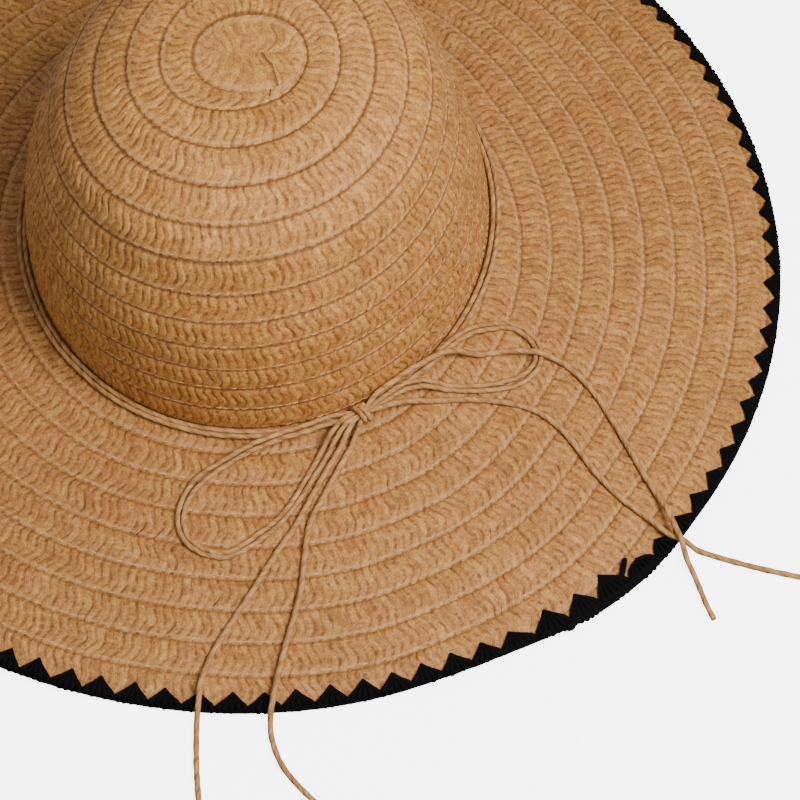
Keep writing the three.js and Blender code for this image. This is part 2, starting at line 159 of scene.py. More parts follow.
def noise2(x, y, seed):
    """Smooth two-dimensional noise from -1 to 1."""
    j = np.floor(y)
    low = noise(x + 37.1 * j, seed)
    high = noise(x + 37.1 * (j + 1), seed)
    return lerp(low, high, smooth(y - j))


def catmull_rom(points, samples):
    """Points on a smooth curve through the given ones, with even steps along it."""
    p = np.array(points, float)
    before = np.vstack([p[:1], p[:-2]])
    after = np.vstack([p[2:], p[-1:]])
    start, end = p[:-1], p[1:]
    t = np.linspace(0, 1, 40, endpoint=False)[None, :, None]
    v0 = ((end - before) * 0.5)[:, None, :]
    v1 = ((after - start) * 0.5)[:, None, :]
    a, b = start[:, None, :], end[:, None, :]
    curve = (2 * a - 2 * b + v0 + v1) * t ** 3 + (-3 * a + 3 * b - 2 * v0 - v1) * t ** 2 + v0 * t + a
    curve = np.vstack([curve.reshape(-1, p.shape[1]), p[-1:]])
    length = np.concatenate([[0], np.cumsum(np.linalg.norm(np.diff(curve, axis=0), axis=1))])
    even = np.linspace(0, length[-1], samples)
    return np.column_stack([np.interp(even, length, curve[:, k]) for k in range(p.shape[1])])


# The hat's surfaces

def oval_radius(angle):
    turn = angle - CROWN_LONG_ANGLE
    across = CROWN_SHORT_RADIUS * np.cos(turn)
    along = CROWN_LONG_RADIUS * np.sin(turn)
    return CROWN_LONG_RADIUS * CROWN_SHORT_RADIUS / np.hypot(across, along)


def rim_radius(angle):
    turn = (BRAID_END_ANGLE - angle + math.pi) % TAU - math.pi
    k = turn / BRAID_END_WIDTH
    return RIM_RADIUS - BRAID_END_STEP * k * np.exp((1 - k * k) / 2)


def rim_from_crown(angle, inset):
    reach = RIM_RADIUS + 0 * angle
    for _ in range(8):
        x = CROWN_CENTRE[0] + reach * np.cos(angle)
        y = CROWN_CENTRE[1] + reach * np.sin(angle)
        reach = reach + rim_radius(np.arctan2(y, x)) - inset - np.hypot(x, y)
    return reach


def opening_radius(angle):
    return oval_radius(angle) - CROWN_WALL


def straw_edge_radius(angle):
    return rim_from_crown(angle, TRIM_BEAD_WIDTH + GAP)


def share_across_brim(x, y):
    angle = np.arctan2(y - CROWN_CENTRE[1], x - CROWN_CENTRE[0])
    reach = np.hypot(x - CROWN_CENTRE[0], y - CROWN_CENTRE[1])
    inner = opening_radius(angle)
    return (reach - inner) / (straw_edge_radius(angle) - inner)


def brim_top(share):
    return lerp(BRIM_TOP_AT_CROWN, BRIM_TOP_AT_EDGE, share)


def lay_height(x, y):
    """Height of what a cord lies on: the crown cord, the straw, the trim, then the floor."""
    reach = np.hypot(x, y) - rim_radius(np.arctan2(y, x))
    over_bead = TRIM_TOP + GAP
    on_floor = over_bead * (1 - smooth(reach / 9))
    dx, dy = x - CROWN_CENTRE[0], y - CROWN_CENTRE[1]
    beside_crown = np.hypot(dx, dy) - oval_radius(np.arctan2(dy, dx))
    on_straw = brim_top(share_across_brim(x, y)) + RIB_HEIGHT
    over_lip = on_straw + (TRIM_LIP + GAP) * smooth((reach + 17) / 8)
    over_band = BAND_HEIGHT + PAIR_HALF_HEIGHT + GAP
    over_straw = lerp(over_band, over_lip, smooth((beside_crown - 6) / 10))
    inside = lerp(over_straw, over_bead, smooth((reach + 3.5) / 3.5))
    return np.where(reach > 0, on_floor, inside)


CROWN_CURVE = catmull_rom([(w * MEAN_CROWN_RADIUS, h) for h, w in CROWN_PROFILE], 600)
CROWN_TANGENT = np.gradient(CROWN_CURVE, axis=0)
CROWN_TANGENT /= np.linalg.norm(CROWN_TANGENT, axis=1)[:, None]
CROWN_SAMPLES = np.linspace(0, CROWN_ROWS, len(CROWN_CURVE))


def crown_point(rows, angle, offset):
    """A point of the crown, in mm: rows from the middle of the top, angle, offset outward."""
    along = np.clip(rows, 0, CROWN_ROWS)
    width = np.interp(along, CROWN_SAMPLES, CROWN_CURVE[:, 0])
    height = np.interp(along, CROWN_SAMPLES, CROWN_CURVE[:, 1])
    tangent_x = np.interp(along, CROWN_SAMPLES, CROWN_TANGENT[:, 0])
    tangent_z = np.interp(along, CROWN_SAMPLES, CROWN_TANGENT[:, 1])
    lean = height / CROWN_HEIGHT
    reach = oval_radius(angle) * width / MEAN_CROWN_RADIUS - offset * tangent_z
    x = CROWN_CENTRE[0] + CROWN_LEAN[0] * lean * (2 - lean) + reach * np.cos(angle)
    y = CROWN_CENTRE[1] + CROWN_LEAN[1] * lean + reach * np.sin(angle)
    z = CROWN_FOOT + np.maximum(height + offset * tangent_x, 0)
    return np.stack([x, y, z], -1)


def brim_point(share, angle, offset):
    inner = opening_radius(angle)
    reach = inner + (straw_edge_radius(angle) - inner) * share
    x = CROWN_CENTRE[0] + reach * np.cos(angle)
    y = CROWN_CENTRE[1] + reach * np.sin(angle)
    return np.stack([x, y, brim_top(share) + offset], -1)


# Mesh helpers

def mesh_object(name, points, face_groups, uv):
    """A smooth object from points in mm, groups of faces with equal corners, and a UV pair a point."""
    loops = np.concatenate([faces.ravel() for faces in face_groups])
    corners = np.concatenate([np.full(len(faces), faces.shape[1]) for faces in face_groups])
    mesh = bpy.data.meshes.new(name)
    mesh.vertices.add(len(points))
    mesh.vertices.foreach_set("co", (points * MM).ravel())
    mesh.loops.add(len(loops))
    mesh.loops.foreach_set("vertex_index", loops)
    mesh.polygons.add(len(corners))
    mesh.polygons.foreach_set("loop_start", np.cumsum(corners) - corners)
    mesh.polygons.foreach_set("use_smooth", np.ones(len(corners), bool))
    mesh.uv_layers.new(name="braid").data.foreach_set("uv", uv[loops].ravel())
    mesh.update(calc_edges=True)
    mesh.validate()
    obj = bpy.data.objects.new(name, mesh)
    bpy.context.scene.collection.objects.link(obj)
    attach(obj, "root")
    return obj


def grid_faces(columns, rows):
    """Quads of a grid of points stored column by column."""
    i = np.arange(columns - 1)[:, None]
    j = np.arange(rows - 1)[None, :]
    a = i * rows + j
    b = a + rows
    return np.stack([a, b, b + 1, a + 1], -1).reshape(-1, 4)


def tube_points(path, radii, sides, twist=None):
    """Rings round a path: radii is a number or one a point, and twist(turn, i) scales each point."""
    path = np.asarray(path, float)
    tangent = np.gradient(path, axis=0)
    tangent /= np.linalg.norm(tangent, axis=1)[:, None]
    side = np.cross(tangent, np.array([0, 0, 1.0]))
    weak = np.linalg.norm(side, axis=1) < 1e-6
    side[weak] = np.array([1.0, 0, 0])
    side /= np.linalg.norm(side, axis=1)[:, None]
    up = np.cross(side, tangent)
    turn = np.arange(sides) * TAU / sides
    radii = np.broadcast_to(np.asarray(radii, float), (len(path),))
    lump = 1.0 if twist is None else twist(turn[None, :], np.arange(len(path))[:, None])
    ring = np.cos(turn)[None, :, None] * side[:, None, :] + np.sin(turn)[None, :, None] * up[:, None, :]
    return path[:, None, :] + ring * (radii[:, None] * lump)[:, :, None]


def tube_object(name, paths):
    """Closed tubes as one object: each item of paths is (rings, length in mm at each ring)."""
    points, quads, caps, uv, base = [], [], [], [], 0
    for rings, along in paths:
        count, sides = rings.shape[:2]
        k = np.arange(sides)
        following = (k + 1) % sides
        ring_starts = base + np.arange(count)[:, None] * sides
        a, b = ring_starts + k, ring_starts + following
        quads.append(np.stack([a[:-1], b[:-1], b[1:], a[1:]], -1).reshape(-1, 4))
        middle = np.full(sides, base + count * sides)
        caps += [np.column_stack([middle, b[0], a[0]]), np.column_stack([middle + 1, a[-1], b[-1]])]
        points += [rings.reshape(-1, 3), rings[:1].mean(1), rings[-1:].mean(1)]
        uv += [np.column_stack([np.repeat(along, sides), np.tile(k / sides, count)]),
               [[along[0], 0], [along[-1], 0]]]
        base += count * sides + 2
    return mesh_object(name, np.vstack(points), [np.vstack(quads), np.vstack(caps)], np.vstack(uv))


def path_length(path):
    return float(np.linalg.norm(np.diff(path, axis=0), axis=1).sum())


# Camera: the photograph's angle from above, a little past the front, with a slight roll
CAMERA_DISTANCE = 1.3
CAMERA_ELEVATION = math.radians(53.249)
CAMERA_ROLL = math.radians(5.268)
CAMERA_YAW = math.radians(2.786)
CAMERA_PITCH = math.radians(-2.762)
CAMERA_RISE = 0.002
LENS_MM = 148.0


def make_camera():
    back = Vector((0, -math.cos(CAMERA_ELEVATION), math.sin(CAMERA_ELEVATION)))
    forward = -back
    right = Vector((1, 0, 0))
    up = right.cross(forward)
    look = (forward * math.cos(CAMERA_PITCH) * math.cos(CAMERA_YAW)
            + right * math.sin(CAMERA_YAW) * math.cos(CAMERA_PITCH)
            + up * math.sin(CAMERA_PITCH)).normalized()
    level = look.cross(Vector((0, 0, 1))).normalized()
    upright = level.cross(look)
    side = level * math.cos(CAMERA_ROLL) + upright * math.sin(CAMERA_ROLL)
    head = -level * math.sin(CAMERA_ROLL) + upright * math.cos(CAMERA_ROLL)
    data = bpy.data.cameras.new("camera")
    data.sensor_width = 36.0
    data.lens = LENS_MM
    data.clip_start, data.clip_end = 0.05, 20
    camera = bpy.data.objects.new("camera", data)
    bpy.context.scene.collection.objects.link(camera)
    turn = Matrix((side, head, -look)).transposed().to_4x4()
    camera.matrix_world = Matrix.Translation(back * CAMERA_DISTANCE + Vector((0, 0, CAMERA_RISE))) @ turn
    bpy.context.scene.camera = camera


make_camera()


# Materials

def new_material(name, roughness, specular=0.3):
    material = bpy.data.materials.new(name)
    material.use_nodes = True
    tree = material.node_tree
    shader = tree.nodes["Principled BSDF"]
    shader.inputs["Roughness"].default_value = roughness
    shader.inputs["Specular IOR Level"].default_value = specular
    return material, tree, shader


def node(tree, kind, inputs=None, **settings):
    made = tree.nodes.new(kind)
    for key, value in settings.items():
        setattr(made, key, value)
    for key, value in (inputs or {}).items():
        if isinstance(value, bpy.types.NodeSocket):
            tree.links.new(value, made.inputs[key])
        else:
            made.inputs[key].default_value = value
    return made


def maths(tree, operation, a, b=0.0):
    return node(tree, "ShaderNodeMath", {0: a, 1: b}, operation=operation).outputs[0]


def times(tree, a, b):
    return maths(tree, "MULTIPLY", a, b)


def weighted(tree, *pairs):
    """The sum of values times their weights, where a value counts from its middle, 0.5."""
    total = None
    for value, weight in pairs:
        part = times(tree, maths(tree, "SUBTRACT", value, 0.5), weight)
        total = part if total is None else maths(tree, "ADD", total, part)
    return maths(tree, "ADD", total, 0.5)


def mix(tree, share, a, b, blend="MIX"):
    made = node(tree, "ShaderNodeMix", data_type="RGBA", blend_type=blend)
    for socket, value in ((made.inputs[0], share), (made.inputs[6], a), (made.inputs[7], b)):
        if isinstance(value, bpy.types.NodeSocket):
            tree.links.new(value, socket)
        else:
            socket.default_value = value
    return made.outputs[2]


def rise(tree, value, low, high, to_low=0.0, to_high=1.0):
    """A smooth step: to_low under low, and to_high over high."""
    return node(tree, "ShaderNodeMapRange", {"Value": value, "From Min": low, "From Max": high,
                                             "To Min": to_low, "To Max": to_high},
                interpolation_type="SMOOTHSTEP").outputs["Result"]


def noise_over(tree, x, y, detail=2.0):
    vector = node(tree, "ShaderNodeCombineXYZ", {0: x, 1: y}).outputs[0]
    return node(tree, "ShaderNodeTexNoise", {"Vector": vector, "Scale": 1.0, "Detail": detail,
                                             "Roughness": 0.6}).outputs["Fac"]


def noise_in_space(tree, scale, detail=2.0):
    place = node(tree, "ShaderNodeTexCoord").outputs["Object"]
    noise_node = node(tree, "ShaderNodeTexNoise", {"Vector": place, "Scale": scale, "Detail": detail})
    return noise_node.outputs["Fac"]


def braid_uv(tree):
    uv = node(tree, "ShaderNodeUVMap", uv_map="braid").outputs[0]
    parts = node(tree, "ShaderNodeSeparateXYZ", {0: uv})
    return parts.outputs[0], parts.outputs[1]


def ramp_of(tree, value, *stops):
    made = node(tree, "ShaderNodeValToRGB", {0: value})
    elements = made.color_ramp.elements
    elements[0].position, elements[0].color = stops[0][0], (*stops[0][1], 1)
    elements[1].position, elements[1].color = stops[-1][0], (*stops[-1][1], 1)
    for position, colour in stops[1:-1]:
        elements.new(position).color = (*colour, 1)
    return made.outputs[0]


STRAW_DARK = (0.31, 0.116, 0.023)
STRAW_MIDDLE = (0.53, 0.229, 0.050)
STRAW_PALE = (0.76, 0.405, 0.122)
# The next colour is painted shade, for the straw's grooves and the cords' furrows
PAINTED_GROOVE_SHADE = (0.17, 0.056, 0.012)
# The next colour is painted deep shade, past each seam and at the braid's cut start
PAINTED_DEEP_SHADE = (0.11, 0.034, 0.006)
THREAD_ZONE = (0.66, 0.34, 0.145)
# The crown's and the brim's copies of the straw: the brim's is painted darker, painted shade over the whole
# brim
CROWN_SHADE = (1.0, 1.0, 1.0)
BRIM_PAINTED_SHADE = (0.82, 0.80, 0.80)
THREAD_ZONE_BEGINS = (0.83, 0.875)
THREAD_ZONE_ENDS = (0.915, 0.955)
# Across the row, where the painted shade past the seam fades out
SEAM_SHADE_SPAN = (0.13, 0.205)
GROOVE_SIDE = (0.45, 0.92)


def straw_material(name, painted_shade_tint, seam_shade_strength):
    """Plaited straw: u counts the ribs along the braid and v runs across it, from inner to outer edge."""
    material, tree, shader = new_material(name, 0.58)
    u, v = braid_uv(tree)
    fibre = noise_over(tree, times(tree, u, 8.0), times(tree, v, 2.6), 3.0)
    a_rib = noise_over(tree, times(tree, maths(tree, "FLOOR", u), 0.73), times(tree, v, 1.3))
    patch = noise_in_space(tree, 330.0)
    # Fine pale flecks: the straw's mottled tone, and painted glints of its gloss
    mottle_and_glint = noise_in_space(tree, 1100.0, 1.0)
    tone = weighted(tree, (fibre, 1.0), (a_rib, 1.0), (patch, 0.8), (mottle_and_glint, 1.1))
    colour = ramp_of(tree, tone, (0.05, STRAW_DARK), (0.5, STRAW_MIDDLE), (0.97, STRAW_PALE))
    hue = ramp_of(tree, noise_in_space(tree, 75.0), (0.38, (0.99, 1.01, 0.96)), (0.62, (1.02, 0.99, 1.06)))
    colour = mix(tree, 1.0, colour, hue, "MULTIPLY")
    large_patch = noise_in_space(tree, 17.0, 3.0)
    shade = ramp_of(tree, large_patch, (0.3, (0.90, 0.87, 0.82)), (0.7, (1.04, 1.04, 1.04)))
    colour = mix(tree, 1.0, colour, shade, "MULTIPLY")
    at_seam = times(tree, rise(tree, v, *THREAD_ZONE_BEGINS), rise(tree, v, *THREAD_ZONE_ENDS, 1.0, 0.0))
    speckle = rise(tree, noise_in_space(tree, 620.0), 0.36, 0.60, 0.15, 1.0)
    colour = mix(tree, times(tree, times(tree, at_seam, speckle), 0.6), colour, (*THREAD_ZONE, 1))
    phase = maths(tree, "FRACT", u)
    from_middle = maths(tree, "ABSOLUTE", maths(tree, "SUBTRACT", times(tree, phase, 2.0), 1.0))
    clusters = noise_over(tree, times(tree, u, 0.33), times(tree, v, 2.3))
    clusters = rise(tree, clusters, 0.36, 0.62, 0.30, 1.0)
    groove_number = maths(tree, "FLOOR", maths(tree, "ADD", u, 0.5))
    strokes = noise_over(tree, times(tree, groove_number, 0.91), times(tree, v, 6.5))
    strokes = rise(tree, strokes, 0.38, 0.60, 0.20, 1.0)
    groove = times(tree, clusters, strokes)
    groove = times(tree, groove, rise(tree, from_middle, *GROOVE_SIDE))
    groove = times(tree, groove, rise(tree, at_seam, 0.0, 1.0, 1.0, 0.45))
    groove = times(tree, groove, rise(tree, u, 8.0, 34.0, 0.6, 1.0))
    # Painted shade: the grooves between the ribs are painted darker; the same mask also sinks them by bump
    # below
    colour = mix(tree, times(tree, groove, 0.78), colour, (*PAINTED_GROOVE_SHADE, 1))
    # Painted shade: the braid's first rib, at its cut start under the fold, is painted dark
    painted_start_shade = rise(tree, u, 0.1, 0.65, 0.8, 0.0)
    colour = mix(tree, painted_start_shade, colour, (*PAINTED_DEEP_SHADE, 1))
    # Painted shade: each row is painted dark just past the seam, under the edge of the row inside
    seam_shade_mask = rise(tree, v, *SEAM_SHADE_SPAN, 1.0, 0.0)
    colour = mix(tree, times(tree, seam_shade_mask, seam_shade_strength), colour, (*PAINTED_DEEP_SHADE, 1))
    # Painted shade: each copy of the straw is multiplied by its own tint, darker on the brim
    colour = mix(tree, 1.0, colour, (*painted_shade_tint, 1), "MULTIPLY")
    tree.links.new(colour, shader.inputs["Base Color"])
    height = weighted(tree, (fibre, 1.0), (patch, 0.6))
    height = maths(tree, "SUBTRACT", height, times(tree, groove, 0.8))
    bump = node(tree, "ShaderNodeBump", {"Height": height, "Strength": 0.6, "Distance": 0.0004})
    tree.links.new(bump.outputs[0], shader.inputs["Normal"])
    return material


TWIST_LENGTH = 13.0

# Dark, middle and pale
CORD_COLOURS = (0.27, 0.108, 0.030), (0.46, 0.222, 0.073), (0.64, 0.37, 0.145)
THREAD_COLOURS = (0.52, 0.28, 0.12), (0.70, 0.43, 0.21), (0.84, 0.60, 0.36)
YARN_DARK = (0.0014, 0.0011, 0.0011)
YARN_PALE_AND_SHEEN = (0.0060, 0.0050, 0.0052)


def twisted_material(name, dark, middle, pale, painted_furrow_shade):
    """Twisted paper or thread: u runs along it in mm and v goes round it."""
    material, tree, shader = new_material(name, 0.6)
    u, v = braid_uv(tree)
    wind = maths(tree, "ADD", v, times(tree, u, 1 / TWIST_LENGTH))
    fibre = noise_over(tree, times(tree, wind, 14.0), times(tree, u, 0.25), 3.0)
    patch = noise_in_space(tree, 260.0)
    tone = weighted(tree, (fibre, 1.5), (patch, 1.0))
    colour = ramp_of(tree, tone, (0.1, dark), (0.5, middle), (0.9, pale))
    ridge = maths(tree, "FRACT", times(tree, wind, 2.0))
    between = rise(tree, maths(tree, "ABSOLUTE", maths(tree, "SUBTRACT", ridge, 0.5)), 0.04, 0.26, 1.0, 0.0)
    # Painted shade: the furrows between the twisted ridges are painted darker
    colour = mix(tree, times(tree, between, painted_furrow_shade), colour, (*PAINTED_GROOVE_SHADE, 1))
    tree.links.new(colour, shader.inputs["Base Color"])
    height = maths(tree, "SUBTRACT", fibre, between)
    bump = node(tree, "ShaderNodeBump", {"Height": height, "Strength": 0.6, "Distance": 0.0003})
    tree.links.new(bump.outputs[0], shader.inputs["Normal"])
    return material


def yarn_material():
    """Black yarn: fine fibres of uneven tone that wind along the strand, painted a little lighter where they
    stand out, a painted sheen.
    """
    material, tree, shader = new_material("black_yarn", 0.8, 0.06)
    u, v = braid_uv(tree)
    wind = maths(tree, "ADD", v, times(tree, u, 0.3))
    fibre = noise_over(tree, times(tree, wind, 9.0), times(tree, u, 0.6), 3.0)
    # Uneven fibre tone and a painted sheen: the colour is lighter where the bump stands out
    colour = ramp_of(tree, fibre, (0.3, YARN_DARK), (0.75, YARN_PALE_AND_SHEEN))
    tree.links.new(colour, shader.inputs["Base Color"])
    bump = node(tree, "ShaderNodeBump", {"Height": fibre, "Strength": 0.8, "Distance": 0.0003})
    tree.links.new(bump.outputs[0], shader.inputs["Normal"])
    return material


CROWN_STRAW = straw_material("crown_straw", CROWN_SHADE, seam_shade_strength=0.72)
BRIM_STRAW = straw_material("brim_straw", BRIM_PAINTED_SHADE, seam_shade_strength=0.42)
CORD = twisted_material("paper_cord", *CORD_COLOURS, painted_furrow_shade=0.28)
THREAD = twisted_material("sewing_thread", *THREAD_COLOURS, painted_furrow_shade=0.1)
YARN = yarn_material()


# Cords first: each tail is one cord, and each loop two strands side by side

def laid_path(route, radius, shift=0.0, step=0.9, wave=0.0, seed=0):
    """The centreline in mm of a cord laid along a route, moved sideways by shift."""
    plan = np.array(route, float) / MM
    length = path_length(plan)
    plan = catmull_rom(plan, int(length / step))
    across = np.gradient(plan[:, :2], axis=0)
    across /= np.linalg.norm(across, axis=1)[:, None]
    sway = shift + wave * noise(np.arange(len(plan)) * step / 14, seed)
    plan[:, 0] += across[:, 1] * sway
    plan[:, 1] -= across[:, 0] * sway
    height = lay_height(plan[:, 0], plan[:, 1]) + GAP + radius + plan[:, 2]
    return np.column_stack([plan[:, :2], height])


def paper_cord_rings(path, radius, seed, sides=10):
    """Twisted paper: two soft ridges that wind round the cord, and a little unevenness."""
    step = path_length(path) / (len(path) - 1)

    def lump(turn, i):
        wind = 2 * (turn + i * step * TAU / TWIST_LENGTH)
        return 1 + 0.045 * np.cos(wind) + 0.05 * noise(i * step / 2.3, seed)

    return tube_points(path, radius, sides, twist=lump)


def cord_object(name, node_name, route, radius, shift=0.0, wave=0.0, seed=1):
    path = laid_path(route, radius, shift, wave=wave, seed=seed)
    along = np.linspace(0, path_length(path), len(path))
    obj = tube_object(name, [(paper_cord_rings(path, radius, seed), along)])
    obj.data.materials.append(CORD)
    if node_name:
        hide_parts(node_name)
    return path


LOOP_RADIUS = 0.95
LOOP_HALF_GAP = 1.1
LOOP_WAVE = 0.35
TAILS = [("tail_a", TAIL_A), ("tail_b", TAIL_B), ("tail_c", TAIL_C), ("tail_d", TAIL_D)]
LOOPS = [("bow_loop_left", LOOP_LEFT), ("bow_loop_right", LOOP_RIGHT)]


def make_loops():
    """Two strands for each loop, the outer of which replaces the loop's CAD solid."""
    paths = []
    for name, route in LOOPS:
        for strand, shift in (("outer", -LOOP_HALF_GAP), ("inner", LOOP_HALF_GAP)):
            node_name = name if strand == "outer" else None
            seed = len(TAILS) + len(paths) + 1
            paths.append(cord_object(f"{name}_{strand}", node_name, route, LOOP_RADIUS, shift,
                                     wave=LOOP_WAVE, seed=seed))
    return paths


# The centrelines, which the knot's strands join at its two sides
TAIL_PATHS = [cord_object(f"{name}_cord", name, route, CORD_RADIUS, seed=seed)
              for seed, (name, route) in enumerate(TAILS, 1)]
LOOP_PATHS = make_loops()


# Sewn braid: one long ribbon that winds outward, clockwise seen from above

RIB_PITCH = 3.4
OVERLAP = 0.16
START_LAP = 0.2
START_ACROSS = 0.3
CROWN_WAVE = 0.9
BRIM_WAVE = 1.0
RIB_PHASES = (0.0, 0.18, 0.5, 0.82)
RIB_PHASES_INSIDE = (0.0, 0.5)


def ribbon(seam, first, last, centre_radius):
    """Where the ribbon runs: the length in mm that goes with each clockwise turn, from first to last."""
    travel = np.linspace(first, last, 60000)
    speed = centre_radius(travel)
    length = np.concatenate([[0], np.cumsum(0.5 * (speed[1:] + speed[:-1]) * np.diff(travel))])
    return {"seam": seam, "first": first, "length": length, "travel": travel}


def starts_at_centre(run, turn):
    """True in the first turn and a little more, where no row lies inside the ribbon."""
    return turn < run["first"] + TAU + START_LAP


def inner_edge(run, turn, at_centre):
    """Rows from the centre of the ribbon's inner edge, which the row inside laps over."""
    return np.where(at_centre, 0.0, run["seam"](turn - TAU) - OVERLAP)


def ribbon_points(run, point, phases, across, layer, wave):
    """The ribbon's grid: a column for each phase of each rib, a row for each place across it."""
    ribs = int(run["length"][-1] / RIB_PITCH)
    column = np.arange(ribs * len(phases) + 1)
    rib = (column // len(phases))[:, None]
    phase = np.array(phases)[column % len(phases)][:, None]
    v = np.array(across)[None, :]
    tilt = 1.3 * noise(rib / 9.0, 3) + 0.5 * noise(rib / 2.0, 4)
    bend = wave + 0.35 * noise(rib / 5.0, 5)
    zigzag = bend * np.sin(TAU * (1.25 * v + 0.15 * noise(rib / 7.0, 6))) + 2 * tilt * (v - 0.5)
    zigzag = zigzag + 0.25 * noise2(rib * 0.9, v * 4, 7)
    u = (rib + phase) * RIB_PITCH + zigzag
    turn = np.interp(np.clip(u, 0, run["length"][-1]), run["length"], run["travel"])
    outer = run["seam"](turn) - 0.009 * np.cos(TAU * phase) * smooth((v - 0.8) / 0.2)
    at_centre = starts_at_centre(run, np.interp((rib + phase) * RIB_PITCH, run["length"], run["travel"]))
    rows = lerp(inner_edge(run, turn, at_centre), outer, v)
    v = np.where(at_centre, lerp(START_ACROSS, 1.0, v), v)
    points = point(rows, turn, layer(v, rib, phase, turn))
    uv = np.stack([np.broadcast_to(rib + phase, u.shape), v], -1)
    return rows, points, uv


def within(rows, limit):
    """The quads of a grid that have a corner inside the limit across the rows."""
    faces = grid_faces(*rows.shape)
    outside = (rows <= limit[0]) | (rows >= limit[1])
    return faces[~outside.reshape(-1)[faces].all(1)]


def braid_object(name, parts, material, cad_nodes):
    """One mesh from grids of the ribbon: each is (points, uv, faces), and unused points are left out."""
    all_points, all_uv, all_faces, base = [], [], [], 0
    for points, uv, faces in parts:
        used, faces = np.unique(faces, return_inverse=True)
        all_points.append(points.reshape(-1, 3)[used])
        all_uv.append(uv.reshape(-1, 2)[used])
        all_faces.append(faces.reshape(-1, 4) + base)
        base += len(used)
    obj = mesh_object(name, np.vstack(all_points), [np.vstack(all_faces)], np.vstack(all_uv))
    obj.data.materials.append(material)
    if cad_nodes:
        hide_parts(*cad_nodes)
    return obj


def braid_halves(run, point, wave, limit, split, *layers):
    """The parts of two objects: the outside's and the inside's grids, cut at a share of their length."""
    halves = [], []
    for phases, across, layer, inside in layers:
        rows, points, uv = ribbon_points(run, point, phases, across, layer, wave)
        faces = within(rows, limit)
        if inside:
            uv[..., 1] = 1 - uv[..., 1]
            faces = faces[:, ::-1]
        in_second = faces.min(1) >= split * rows.size
        halves[0].append((points, uv, faces[~in_second]))
        halves[1].append((points, uv, faces[in_second]))
    return halves


def ridge(phase):
    """A rib's rounded back: 0 in the groove and 1 along the middle."""
    return smooth(np.minimum(phase, 1 - phase) / 0.2)


def row_base(v):
    """The row's lift without its ribs: low where the row inside covers it."""
    return -0.85 + 0.95 * smooth(v / 0.26) + 0.15 * np.sin(math.pi * v)


def outside_layer(v, rib, phase, turn):
    """The outside's lift in mm: ribs with round backs, lower at the thread, and an edge rolled under."""
    strength = 0.66 + 0.10 * noise(rib * 1.7, 8)
    lengthwise = 0.5 + 0.5 * np.cos(TAU * (1.9 * v + 0.5 * (rib % 2)) + 0.6 * noise(rib / 3.0, 9))
    split = 0.4 * (hashed(rib, 12) < 0.45) * np.exp(-((phase - 0.5) / 0.1) ** 2)
    fill = 0.4 * smooth(0.5 + 0.9 * noise2(rib * 0.83, v * 4.5, 15)) * (1 - ridge(phase))
    relief = strength * (ridge(phase) - split + fill) * (0.62 + 0.38 * lengthwise)
    at_thread = smooth((v - 0.82) / 0.05)
    relief = relief * smooth(v / 0.12) * (1 - 0.3 * at_thread)
    drop = -1.35 * smooth((v - 0.95) / 0.055) ** 2
    return row_base(v) + relief + drop + 0.1 * noise(rib / 11.0 + 3 * v, 13)


def inside_layer(v, rib, phase, turn):
    """The plain back of the braid, a wall's thickness below the outside."""
    return -1.95 + 0.4 * smooth(v) + 0.25 * (1 - ridge(phase)) * smooth(v / 0.1)


ACROSS_CROWN = (0.0, 0.13, 0.25, 0.36, 0.47, 0.58, 0.69, 0.79, 0.875, 0.935, 0.975, 1.0)
ACROSS_BRIM = (0.0, 0.13, 0.25, 0.37, 0.49, 0.61, 0.73, 0.82, 0.875, 0.935, 0.975, 1.0)
ACROSS_INSIDE = (0.0, 0.12, 0.45, 0.8, 1.0)

# The crown's seams leave the centre in steps, one a turn, where the rows were sewn on more widely.
# Rows from the centre: (where the step begins, where it ends, at the hat's right side)
CROWN_SEAM = [
    (1.64, 2.54, 2.54),
    (2.80, 3.50, 3.56),
    (3.86, 4.56, 4.70),
    (4.88, 5.72, 5.68),
    (5.86, 6.82, 6.64),
    (7.00, 7.90, 7.60),
    (7.92, 8.72, 8.54),
    (8.84, 9.56, 9.47),
    (9.76, 10.44, 10.40),
    (10.62, 11.24, 11.36),
    (11.62, 12.16, 12.32),
    (12.60, 12.78, 13.33),
    (13.60, 13.78, 14.33),
]
SEAM_STEP_AT = math.radians(43)
SEAM_STEP_LENGTH = math.radians(65)
SEAM_SIDE_AT = math.radians(305)
SEAM_SOFTNESS = (-0.35, -0.12, 0.12, 0.35)
FIRST_TURN_ROWS = 1.46
FIRST_TURN_OVAL = 0.18
FIRST_TURN_NARROW_AT = math.radians(33)
FIRST_TURN_OVAL_END = math.radians(303)
CROWN_TRAVEL_END = math.radians(4740)
TIP_SHARE = 0.12
START_FOLD = 0.5
START_FOLD_LENGTH = 20.0


def seam_table():
    """The clockwise travel and rows of the crown's seam after its first turn."""
    table = []
    for turns, (begin, end, side) in enumerate(CROWN_SEAM, 1):
        step = turns * TAU + SEAM_STEP_AT
        table += [(step, begin), (step + SEAM_STEP_LENGTH / 3, lerp(begin, end, 0.45)),
                  (step + SEAM_STEP_LENGTH * 2 / 3, lerp(begin, end, 0.85)),
                  (step + SEAM_STEP_LENGTH, end), (turns * TAU + SEAM_SIDE_AT, side)]
    return zip(*table)


SEAM_TRAVEL, SEAM_ROWS = map(np.array, seam_table())


